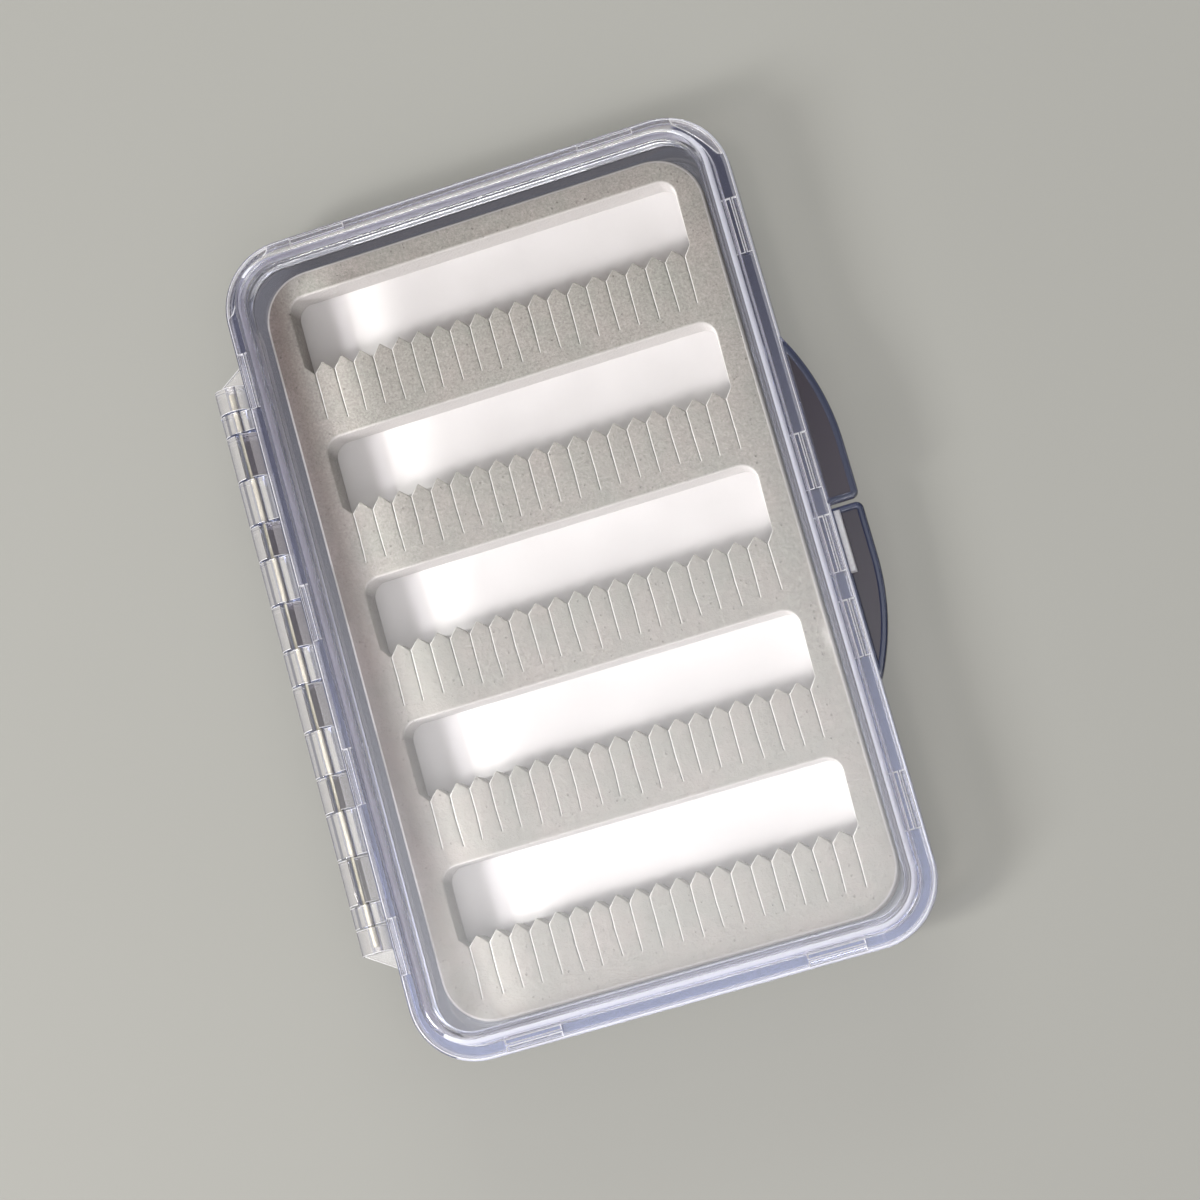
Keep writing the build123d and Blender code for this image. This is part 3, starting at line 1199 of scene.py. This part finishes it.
def lid_profile():
    """Profile of the lid from the middle of its panel round to the middle of its ceiling."""
    ceiling = lid_high.z - panel_thickness
    brow = rim_width + (lid_high.z - lid_rim_low) * math.tan(outside_draft)
    foot = rim_width + (lid_rim_high - lid_rim_low) * math.tan(outside_draft)
    ceiling_inset = wall_inset + (ceiling - lid_edge_z) * math.tan(cavity_draft)
    wall_outer = rim_width - pocket_wall
    return eased(
        [
            (middle_inset, lid_high.z, 0),
            (brow, lid_high.z, 1.3 * mm),
            (foot, lid_rim_high, 0.2 * mm),
            (1.0 * mm, lid_rim_high, 0),
            (0, lid_rim_high, 0.45 * mm),
            (0, lid_edge_z, 0.15 * mm),
            (skirt_thickness, lid_edge_z, 0.12 * mm),
            (skirt_thickness, lid_rim_low, 0.1 * mm),
            (wall_outer, lid_rim_low, 0.1 * mm),
            (wall_outer, lid_edge_z, 0.12 * mm),
            (wall_inset, lid_edge_z, 0.2 * mm),
            (ceiling_inset, ceiling, 0.7 * mm),
            (middle_inset, ceiling, 0),
        ]
    )


def pocket_groove(near, far):
    """Cutter for one groove of a catch pocket, with a soft lip that meets the flange."""
    middle, reach = (near + far) / 2, (far - near) / 2
    top = lid_rim_high + 0.01 * mm
    return carried(
        bar_outline(0, middle, catch_length / 2, reach),
        eased(
            [
                (reach / 2, lid_rim_high - pocket_depth, 0),
                (0, lid_rim_high - pocket_depth, 0.1 * mm),
                (0, top, pocket_lip),
                (-1.5 * pocket_lip, top, 0),
                (-1.5 * pocket_lip, top + 0.5 * mm, 0),
                (0, top + 0.5 * mm, 0),
            ]
        ),
    )


def catch_grooves():
    """Both grooves of every catch pocket, either side of the ridge along its middle."""
    outer = pocket_margin
    inner = rim_width - pocket_wall
    middle = (outer + inner) / 2
    made = at_catches(lambda: pocket_groove(outer, middle - pocket_ridge / 2), True)
    return made + at_catches(lambda: pocket_groove(middle + pocket_ridge / 2, inner), True)


def corner_dish(side, start, sweep, width):
    """Crescent cutter for the shallow dish in the flange at a far corner of the lid."""
    x = side * (half_width - corner_radius)
    y = half_length - corner_radius
    outer_radius = corner_radius - dish_inset
    steps = 24
    mesh = bmesh.new()
    rings = []
    for rise, flare in [(-dish_depth, 0.0), (0.01 * mm, dish_flare), (1.0 * mm, dish_flare)]:
        outer, inner = [], []
        for step in range(steps + 1):
            share = step / steps
            turn = math.radians(start + sweep * share + (2 * share - 1) * 90 * flare / mm / 12)
            ray = Vector((side * math.cos(turn), math.sin(turn)))
            reach = width * math.sin(math.pi * step / steps) ** 0.55
            outer.append(Vector((x, y)) + ray * (outer_radius + flare))
            if 0 < step < steps:
                inner.append(Vector((x, y)) + ray * (outer_radius - reach - flare))
        loop = outer + list(reversed(inner))
        rings.append([mesh.verts.new((p.x, p.y, lid_rim_high + rise)) for p in loop])
    for lower, upper in zip(rings, rings[1:]):
        for i in range(len(lower)):
            j = (i + 1) % len(lower)
            mesh.faces.new((lower[i], lower[j], upper[j], upper[i]))
    mesh.faces.new(rings[0])
    mesh.faces.new(rings[-1])
    return turned_out(mesh)


lid = piece_from(carried(box_outline, lid_profile()), "lid")
lid_barrel = barrel(lid_edge_z + weld, lid_rim_high - barrel_step)
fittings = [soften(along_hinge(lid_barrel, span), knuckle_softening) for span in spans[1::2]]
fittings += [tab_half(1, lid_rim_high - tab_thickness - weld)]
combine(lid, fittings, "UNION")
combine(lid, catch_grooves(), "DIFFERENCE")
combine(lid, [corner_dish(-1, 6, 76, 1.5 * mm), corner_dish(1, 12, 56, 1.1 * mm)], "DIFFERENCE")
combine(lid, [along_hinge(bore(-1), span, bore_overrun) for span in spans[1::2]], "DIFFERENCE")
level_flats(lid)
dress(lid, *plastics.values(), panel_plastic)
shade_regions(lid, 1, lid_rim_high)
panel_slot = len(plastics)
panel_edge = wall_inset - 0.1 * mm
for polygon in lid.data.polygons:
    middle = polygon.center
    inside = (
        abs(middle.x) < half_width - panel_edge and abs(middle.y) < half_length - panel_edge
    )
    if inside and (abs(polygon.normal.z) > 0.99 or middle.z < lid_high.z - panel_thickness):
        polygon.material_index = panel_slot
smooth(lid)
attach(lid, "lid")
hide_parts("lid_shell")

# --- Floor, light and camera ---------------------------------------------
# A plain pale grey floor that glows a little, a lamp on the hinge side, soft ones over the
# near and far ends, a narrow one that draws a gleam across the windows, and a camera that
# looks down on the box.

# Painted light: the floor glows, most strongly within 0.2 m of the middle and less further out,
# which lightens the box's shadows.
floor_grey, add = new_material("floor_grey")
from_middle = add(
    "ShaderNodeVectorMath", {0: add("ShaderNodeTexCoord").outputs["Object"]}, operation="LENGTH"
).outputs["Value"]
finish_surface(
    add,
    {
        "Base Color": shades(
            add,
            grain(add, 120.0, 2.0),
            [(0.3, (0.150, 0.150, 0.140)), (0.7, (0.154, 0.154, 0.144))],
        ),
        "Roughness": 0.9,
        "Specular IOR Level": 0.1,
        "Emission Color": (0.98, 0.98, 0.93, 1.0),
        "Emission Strength": mapped(add, from_middle, 0.2, 0.7, 0.185, 0.06),
    },
)
floor_size = 3.0
floor_drop = 0.05 * mm
floor_mesh = bmesh.new()
bmesh.ops.create_grid(floor_mesh, x_segments=2, y_segments=2, size=floor_size)
floor = piece_from(floor_mesh, "floor")
floor.location.z = -floor_drop
dress(floor, floor_grey)


def area_lamp(name, place, aim, size, power, colour):
    """A rectangular lamp at a place, pointed at its aim."""
    lamp = bpy.data.lights.new(name, "AREA")
    lamp.shape = "RECTANGLE"
    lamp.size, lamp.size_y = size
    lamp.energy = power
    lamp.color = colour
    body = bpy.data.objects.new(name, lamp)
    bpy.context.collection.objects.link(body)
    body.location = place
    body.rotation_euler = (Vector(aim) - Vector(place)).to_track_quat("-Z", "Y").to_euler()
    return body


area_lamp("window_lamp", (-0.46, -0.165, 0.42), (0, 0, 0), (0.12, 0.19), 4.7, (1.0, 0.97, 0.95))
area_lamp("near_lamp", (0.12, -0.38, 0.62), (0, 0, 0), (0.8, 0.8), 3.3, (1.0, 0.98, 0.97))
area_lamp("far_lamp", (0.06, 0.50, 0.26), (0, 0.04, 0), (0.4, 0.1), 1.5, (1.0, 1.0, 0.91))
gleam_lamp = area_lamp(
    "gleam_lamp", (-0.172, 0, 0.150), (-0.0235, 0, 0.0016), (0.14, 0.004), 0.0024, (1.0, 1.0, 0.97)
)
gleam_lamp.data.spread = math.radians(2.6)

world = bpy.data.worlds.new("studio")
bpy.context.scene.world = world
world.use_nodes = True
add = emptied(world.node_tree)
look = add("ShaderNodeTexCoord").outputs["Generated"]


def glow(direction, full, gone, strength):
    """Brightness of a soft panel round a direction, full inside one angle, gone at another."""
    towards = add(
        "ShaderNodeVectorMath",
        {0: look, 1: Vector(direction).normalized()},
        operation="DOT_PRODUCT",
    ).outputs["Value"]
    dark, bright = math.cos(math.radians(gone)), math.cos(math.radians(full))
    return mapped(add, towards, dark, bright, 0.0, strength, interpolation_type="SMOOTHSTEP")


room_light = 0.18
brightness = room_light
for direction, full, gone, strength in [
    ((-0.12, -0.30, 1.0), 15, 33, 2.8),
    ((-0.75, -0.25, 0.62), 8, 16, 6.0),
    ((0.80, 0.05, 0.50), 5, 11, 3.5),
    ((-0.05, 0.80, 0.50), 5, 11, 3.5),
]:
    panel = glow(direction, full, gone, strength)
    total = add("ShaderNodeMath", {0: panel, 1: brightness}, operation="ADD")
    brightness = total.outputs["Value"]

# Mirrored rays see the panels, diffuse rays an even warm room, the camera a plain grey one.
gleam = add("ShaderNodeBackground", {"Color": (0.93, 0.95, 1.0, 1), "Strength": brightness})
fill = add("ShaderNodeBackground", {"Color": (1.0, 0.90, 0.80, 1), "Strength": 0.33})
plain = add("ShaderNodeBackground", {"Color": (0.62, 0.62, 0.60, 1)})
soft = either(add, "Is Diffuse Ray", gleam, fill)
seen = either(add, "Is Camera Ray", soft, plain)
add("ShaderNodeOutputWorld", {"Surface": seen.outputs[0]})

bpy.context.scene.view_settings.view_transform = "Standard"

frame_pixels = 1200
focal_pixels = 2988
camera_data = bpy.data.cameras.new("camera")
camera_data.sensor_width = 36.0
camera_data.lens = camera_data.sensor_width * focal_pixels / frame_pixels
camera_data.clip_start = 0.01
camera = bpy.data.objects.new("camera", camera_data)
bpy.context.collection.objects.link(camera)
camera.location = (75.5 * mm, -80.4 * mm, 520.0 * mm)
camera.rotation_mode = "ZYX"
camera.rotation_euler = (math.radians(8.55), math.radians(7.9), math.radians(-16.83))
bpy.context.scene.camera = camera
